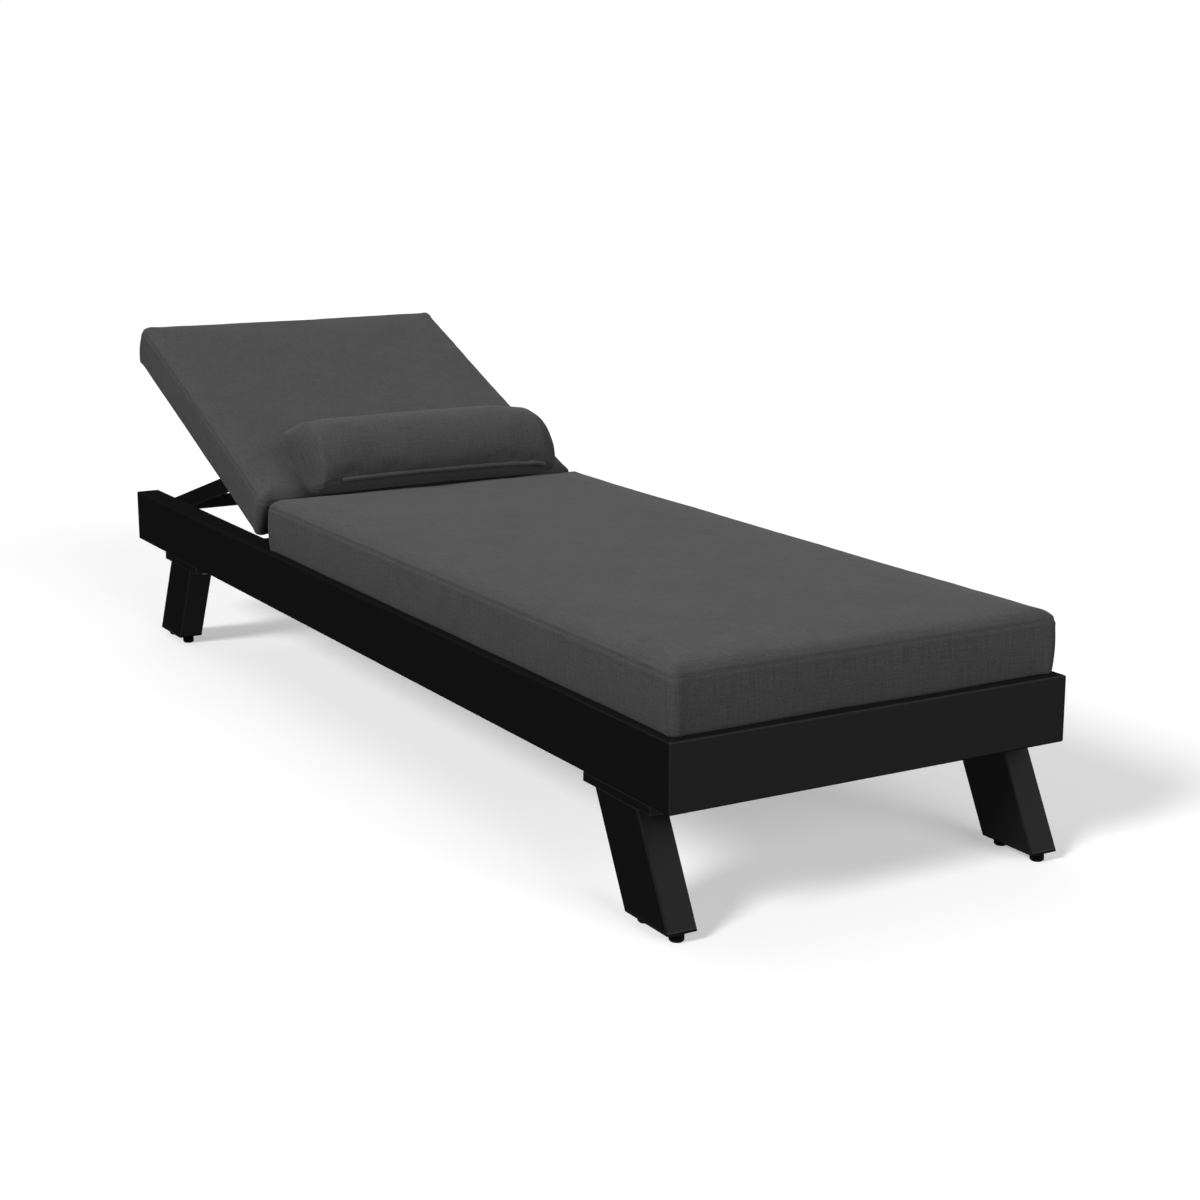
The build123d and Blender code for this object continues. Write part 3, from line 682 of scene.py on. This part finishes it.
def sectionOf(source, x):
    # the outline of the solid where a plane across the lounger cuts it
    cut = source.copy()
    kept = bmesh.ops.bisect_plane(
        cut, geom=cut.verts[:] + cut.edges[:] + cut.faces[:], plane_co=(x, 0, 0), plane_no=(1, 0, 0)
    )["geom_cut"]
    edges = [e for e in kept if isinstance(e, bmesh.types.BMEdge)]
    beside = {}
    for edge in edges:
        for a, b in (edge.verts, reversed(edge.verts)):
            beside.setdefault(a, []).append(b)
    first = edges[0].verts[0]
    walk = [first]
    came = None
    here = first
    while True:
        ahead = [v for v in beside[here] if v is not came]
        if not ahead or ahead[0] is first:
            break
        came, here = here, ahead[0]
        walk.append(here)
    outline = [((v.co - hinge).dot(alongBack), (v.co - hinge).dot(outOfBack)) for v in walk]
    cut.free()
    return outline


def alongLine(line, count):
    # points at even steps along an open line, without its last one
    lengths = np.concatenate([[0], np.cumsum(np.linalg.norm(np.diff(line, axis=0), axis=1))])
    where = np.linspace(0, lengths[-1], count + 1)[:-1]
    return np.stack([np.interp(where, lengths, line[:, k]) for k in (0, 1)], axis=1)


def orderedSection(outline, weltHeight):
    # from the welt over the front to the head side, then back behind
    line = np.array(outline)
    area = np.sum(line[:, 0] * np.roll(line[:, 1], -1) - np.roll(line[:, 0], -1) * line[:, 1])
    if area > 0:
        line = line[::-1]
    foremost = line[:, 0] < line[:, 0].min() + pillow["settleOver"]
    offWelt = np.where(foremost, np.abs(line[:, 1] - weltHeight), farOff)
    line = np.roll(line, -int(np.argmin(offWelt)), axis=0)
    top = int(np.argmax(line[:, 0]))
    front = alongLine(line[:top + 1], pillow["front"])
    behind = alongLine(np.concatenate([line[top:], line[:1]]), pillow["behind"])
    return np.concatenate([front, behind])


def lipTree():
    # sweeps a round lip along a line of edges, with a cloth map in metres on it
    inputs = {"Line": "Geometry", "Radius": "Float", "Step": "Float", "Finish": "Material"}
    tree, given = startTree("sewnLip", inputs, "Lip")
    line = addNode(tree, "GeometryNodeMeshToCurve")
    wire(tree, given["Line"], line.inputs["Mesh"])
    even = addNode(tree, "GeometryNodeResampleCurve", mode="LENGTH")
    wire(tree, line.outputs["Curve"], even.inputs["Curve"])
    wire(tree, given["Step"], even.inputs["Length"])
    ring = addNode(tree, "GeometryNodeCurvePrimitiveCircle")
    ring.inputs["Resolution"].default_value = pillow["lip"]["sides"]
    wire(tree, given["Radius"], ring.inputs["Radius"])
    swept = addNode(tree, "GeometryNodeCurveToMesh")
    swept.inputs["Fill Caps"].default_value = True
    place = addNode(tree, "ShaderNodeCombineXYZ")
    for curve, end, axis in ((even, "Curve", "X"), (ring, "Profile Curve", "Y")):
        travelled = addNode(tree, "GeometryNodeSplineParameter")
        kept = addNode(tree, "GeometryNodeCaptureAttribute", domain="POINT")
        kept.capture_items.new("FLOAT", "Run")
        wire(tree, curve.outputs["Curve"], kept.inputs["Geometry"])
        wire(tree, travelled.outputs["Length"], kept.inputs["Run"])
        wire(tree, kept.outputs["Geometry"], swept.inputs[end])
        wire(tree, kept.outputs["Run"], place.inputs[axis])
    mapped = addNode(tree, "GeometryNodeStoreNamedAttribute", data_type="FLOAT2", domain="CORNER")
    mapped.inputs["Name"].default_value = "cloth"
    wire(tree, swept.outputs["Mesh"], mapped.inputs["Geometry"])
    wire(tree, place.outputs["Vector"], mapped.inputs["Value"])
    soft = addNode(tree, "GeometryNodeSetShadeSmooth")
    wire(tree, mapped.outputs["Geometry"], soft.inputs["Geometry"])
    return endTree(tree, soft.outputs["Geometry"], given["Finish"], "Lip")


def makeLip(points):
    line = bpy.data.meshes.new("lipLine")
    line.from_pydata(points, [(i, i + 1) for i in range(len(points) - 1)], [])
    values = {key: pillow["lip"][key] for key in ("Radius", "Step")}
    return runTree("pillowLip", line, lipTree(), values | {"Finish": finishes["pillow_fabric"]})


def makePillow():
    source = bmesh.new()
    source.from_mesh(nodes["pillow"].data)
    bmesh.ops.remove_doubles(source, verts=source.verts, dist=1e-6)
    stations = pillow["stations"]
    half = pillowHalf * pillow["reach"]
    count = pillow["front"] + pillow["behind"]
    points = []
    gaps = []
    runs = []
    mapped = []
    crowd = pillow["crowd"]  # how far the stations crowd towards the ends
    spread = [2 * i / stations - 1 for i in range(stations + 1)]
    xs = [half * math.sin(math.pi / 2 * t) * crowd + half * t * (1 - crowd) for t in spread]
    for x in xs:
        share = abs(x) / half
        blunted = share ** pillow["bluntLeft" if x < 0 else "bluntRight"]
        weltHeight = backFace + pillow["welt"] - pillow["droop"] * blunted ** pillow["droopPower"]
        loop = orderedSection(sectionOf(source, math.copysign(half * blunted, x)), weltHeight)
        headEnd = loop[:, 0].max()
        pull = pillow["pull"] * share ** pillow["pullPower"] / (headEnd - loop[:, 0].min())
        middle = loop.mean(axis=0)
        corner = max(0.0, share - pillow["cornerFrom"]) / (1 - pillow["cornerFrom"])
        tight = 1 - pillow["cornerShrink"] * corner ** 2
        start = middle + (loop - middle) * pillow["startShare"] * tight
        steps = np.linalg.norm(np.diff(np.concatenate([loop, loop[:1]]), axis=0), axis=1)
        around = np.concatenate([[0], np.cumsum(steps)])
        mapped.append(around)
        endGap = half - abs(x)
        for k, (along, out) in enumerate(start):
            inward = pull * (headEnd - along)
            points.append((x * pillow["startShare"] - math.copysign(inward, x), along, out))
            lowerGap = min(around[k], around[-1] - around[k])
            gaps.append(min(lowerGap, endGap))
            runs.append(x if lowerGap < endGap else pillow["endRuns"][x > 0] + around[k])
    source.free()
    faces = []
    clothMap = []
    for s in range(stations):
        for k in range(count):
            n = (k + 1) % count
            faces.append((s * count + k, s * count + n, (s + 1) * count + n, (s + 1) * count + k))
            clothMap.append([(xs[s], mapped[s][k]), (xs[s], mapped[s][k + 1]),
                             (xs[s + 1], mapped[s + 1][k + 1]), (xs[s + 1], mapped[s + 1][k])])
    for s in (0, stations):
        # close each end by sewing the front to the side behind it
        for k in range(count // 2):
            a, b = s * count + k, s * count + k + 1
            c, d = s * count + count - 1 - k, s * count + (count - k) % count
            ring = list(dict.fromkeys((a, b, c, d)))
            if len(ring) > 2:
                faces.append(ring)
                clothMap.append([points[p][1:] for p in ring])
    piece = makePiece("pillowCover", points, faces, clothMap, gaps, runs, finishes["pillow_fabric"])
    shaped = bmesh.new()
    shaped.from_mesh(piece.data)
    bmesh.ops.recalc_face_normals(shaped, faces=shaped.faces)
    shaped.to_mesh(piece.data)
    shaped.free()
    inflate(piece, pillow["sim"])
    settled = readPoints(piece.data)
    for axis, (low, high) in enumerate(pillowSpans):
        least, most = settled[:, axis].min(), settled[:, axis].max()
        settled[:, axis] = low + (settled[:, axis] - least) * (high - low) / (most - least)
    # the left end is tucked in, and its head side lifts off the back
    tuck = pillow["tuck"]
    leftward = np.clip(-settled[:, 0] / pillowHalf, 0, 1) ** tuck["power"]
    footEnd, headEnd = pillowSpans[1]
    headward = np.clip((settled[:, 1] - footEnd) / (headEnd - footEnd), 0, 1)
    settled[:, 0] += tuck["in"] * leftward
    settled[:, 2] += tuck["up"] * leftward * headward
    writePoints(piece.data, settled)
    # the lip follows the seam along the front
    place = placeFrom(hinge, alongBack, outOfBack)
    outward = Vector((0, -pillow["lip"]["out"], 0))
    seam = [Vector(settled[station * count]) for station in range(stations + 1)]
    seam = [p for p in seam if pillow["lip"]["from"] < p.x < pillow["lip"]["to"]]
    lip = makeLip([place @ (p + outward) for p in seam])
    divideOnce(piece)
    sewSeams(piece, pillow["seam"])
    settled = readPoints(piece.data)
    settled[:, 2] = np.maximum(settled[:, 2], pillowSpans[2][0])
    writePoints(piece.data, settled)
    piece.data.transform(place)
    # its weight presses it on to the seat cushion
    settled = readPoints(piece.data)
    clear = (settled[:, 2] - settled[:, 2].min()) / pillow["settleOver"]
    settled[:, 2] -= pillow["settle"] * np.exp(-clear ** 2)
    settled[:, 2] = np.maximum(settled[:, 2], seatTop + pillow["clear"])
    writePoints(piece.data, settled)
    smooth(piece)
    return piece, lip


pillowCover, pillowEdge = makePillow()
print("pillow made")

for piece, node, body, slot, fill in (
    (seatCushion, "seat_cushion", "frame", "cushion_fabric", 0.9),
    (backCushion, "back_cushion", "back_pad", "cushion_fabric", 0.9),
    (pillowCover, "pillow", "back_pad", "pillow_fabric", 0.75),
):
    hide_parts(node)
    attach(piece, body)
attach(pillowEdge, "back_pad")

# Hexagon sockets in the heads of the leg bolts and rail screws: low plugs in a dark colour, painted shade in place
# of real recesses
hexSocket = {"Across": 0.0028, "Proud": 0.0002, "near": 0.008, "flat": 0.999}
socketHeads = {"leg_bolts": [(0, 0, -1)], "rail_screws": [(1, 0, 0), (-1, 0, 0)]}


def headCentres(node, facing):
    # the middle of each flat head that looks one way, found from the solid's own faces
    heads = []
    for face in nodes[node].data.polygons:
        if face.normal.dot(facing) < hexSocket["flat"]:
            continue
        for head in heads:
            if (head["middle"] / head["area"] - face.center).length < hexSocket["near"]:
                break
        else:
            head = {"middle": Vector(), "area": 0.0}
            heads.append(head)
        head["middle"] += face.center * face.area
        head["area"] += face.area
    return [head["middle"] / head["area"] for head in heads]


def socketTree():
    # a low six-sided plug on each point, turned to the way the point looks
    inputs = {"Heads": "Geometry", "Across": "Float", "Proud": "Float", "Finish": "Material"}
    tree, given = startTree("hexSockets", inputs, "Sockets")
    plug = addNode(tree, "GeometryNodeMeshCylinder")
    plug.inputs["Vertices"].default_value = 6
    wire(tree, given["Across"], plug.inputs["Radius"])
    wire(tree, given["Proud"], plug.inputs["Depth"])
    looks = addNode(tree, "GeometryNodeInputNamedAttribute", data_type="FLOAT_VECTOR")
    looks.inputs["Name"].default_value = "looks"
    turned = addNode(tree, "FunctionNodeAlignRotationToVector", axis="Z")
    wire(tree, looks.outputs["Attribute"], turned.inputs["Vector"])
    spread = addNode(tree, "GeometryNodeInstanceOnPoints")
    wire(tree, given["Heads"], spread.inputs["Points"])
    wire(tree, plug.outputs["Mesh"], spread.inputs["Instance"])
    wire(tree, turned.outputs["Rotation"], spread.inputs["Rotation"])
    return endTree(tree, spread.outputs["Instances"], given["Finish"], "Sockets")


def makeSockets():
    places = []
    looks = []
    for node, ways in socketHeads.items():
        for way in ways:
            facing = Vector(way)
            for middle in headCentres(node, facing):
                if way[0] and facing.x * middle.x > 0:
                    continue  # the buried end of a screw
                places.append(middle)
                looks.extend(way)
    points = bpy.data.meshes.new("headPoints")
    points.from_pydata(places, [], [])
    points.attributes.new("looks", "FLOAT_VECTOR", "POINT").data.foreach_set("vector", looks)
    values = {key: hexSocket[key] for key in ("Across", "Proud")}
    print("sockets:", len(places))
    return runTree("hexSockets", points, socketTree(), values | {"Finish": finishes["socket"]})


hexSockets = makeSockets()
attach(hexSockets, "frame")

# Stage: pale floor and white surroundings
stage = {"floor": 120.0, "floorSeen": 1.10, "floorBounce": 0.15, "skyLight": 0.06}
# a soft box that only glossy surfaces mirror, off to the right in front
softBox = {"towards": (0.49, -0.676, 0.56), "away": 5.0, "size": 4.0, "strength": 4.0}
# each lamp: where its light comes from, how strong, how wide, whether it throws a shadow
lamps = {
    "key": ((-0.80, -0.21, 0.54), 1.84, 17.0, True),
    "overhead": ((0.0, 0.60, 0.80), 1.80, 60.0, False),
    "front": ((0.1, -1.0, 0.36), 1.12, 36.0, True),
    "fill": ((0.55, 0.62, -0.50), 0.45, 60.0, False),
}


def lightPathMask(tree):
    # what the camera sees, straight or through metal and clear surfaces
    path = addNode(tree, "ShaderNodeLightPath")
    seen = calc(tree, "MAXIMUM", path.outputs["Is Camera Ray"], path.outputs["Is Glossy Ray"])
    return calc(tree, "MAXIMUM", seen, path.outputs["Is Transmission Ray"])


def setStage():
    bpy.ops.mesh.primitive_plane_add(size=stage["floor"])
    floor = bpy.context.object
    floor.name = "floor"
    material = bpy.data.materials.new("paleFloor")
    material.use_nodes = True
    tree = material.node_tree
    tree.nodes.clear()
    plain = addNode(tree, "ShaderNodeBsdfDiffuse")
    bounce = [stage["floorBounce"]] * 3
    seen = [stage["floorSeen"]] * 3
    wire(tree, mixColour(tree, lightPathMask(tree), bounce, seen), plain.inputs["Color"])
    # clear from below, so that the underside can be seen
    sides = addNode(tree, "ShaderNodeMixShader")
    wire(tree, addNode(tree, "ShaderNodeNewGeometry").outputs["Backfacing"], sides.inputs["Fac"])
    wire(tree, plain.outputs[0], sides.inputs[1])
    wire(tree, addNode(tree, "ShaderNodeBsdfTransparent").outputs[0], sides.inputs[2])
    wire(tree, sides.outputs[0], addNode(tree, "ShaderNodeOutputMaterial").inputs["Surface"])
    floor.data.materials.append(material)

    world = bpy.data.worlds.new("studio")
    world.use_nodes = True
    tree = world.node_tree
    background = tree.nodes["Background"]
    background.inputs["Color"].default_value = (1, 1, 1, 1)
    strength = rangeOf(tree, lightPathMask(tree), stage["skyLight"], 1.0)
    wire(tree, strength, background.inputs["Strength"])
    scene.world = world

    bpy.ops.mesh.primitive_plane_add(size=softBox["size"])
    box = bpy.context.object
    box.name = "softBox"
    towards = Vector(softBox["towards"]).normalized()
    turned = towards.to_track_quat("Z", "Y").to_matrix().to_4x4()
    box.data.transform(Matrix.Translation(towards * softBox["away"]) @ turned)
    glow, tree, shader = startMaterial("softBox")
    setPlain(shader, {
        "Base Color": (0, 0, 0, 1), "Emission Color": (1, 1, 1, 1), "Emission Strength": softBox["strength"],
    })
    glow.cycles.emission_sampling = "NONE"
    box.data.materials.append(glow)
    for way in ("camera", "diffuse", "transmission", "volume_scatter", "shadow"):
        setattr(box, "visible_" + way, False)

    for name, (source, strength, spread, shades) in lamps.items():
        lamp = bpy.data.lights.new(name, "SUN")
        lamp.energy = strength
        lamp.angle = math.radians(spread)
        lamp.use_shadow = shades
        holder = bpy.data.objects.new(name, lamp)
        holder.rotation_euler = Vector(source).to_track_quat("Z", "Y").to_euler()
        holder.visible_glossy = False
        scene.collection.objects.link(holder)


setStage()
print("stage set:", len(lamps), "lamps")

# Camera: stands off the foot end, turned to the right and tipped down a little
camera = {"place": (-1.677, -3.1661, 1.0374), "turn": 30.2, "tip": 13.035, "lens": 65.56, "sensor": 36.0}


def setCamera():
    data = bpy.data.cameras.new("viewer")
    data.sensor_width = camera["sensor"]
    data.lens = camera["lens"]
    viewer = bpy.data.objects.new("viewer", data)
    viewer.location = camera["place"]
    viewer.rotation_euler = (math.radians(90 - camera["tip"]), 0, math.radians(-camera["turn"]))
    scene.collection.objects.link(viewer)
    scene.camera = viewer


setCamera()
scene.view_settings.view_transform = "Standard"
bpy.context.view_layer.update()
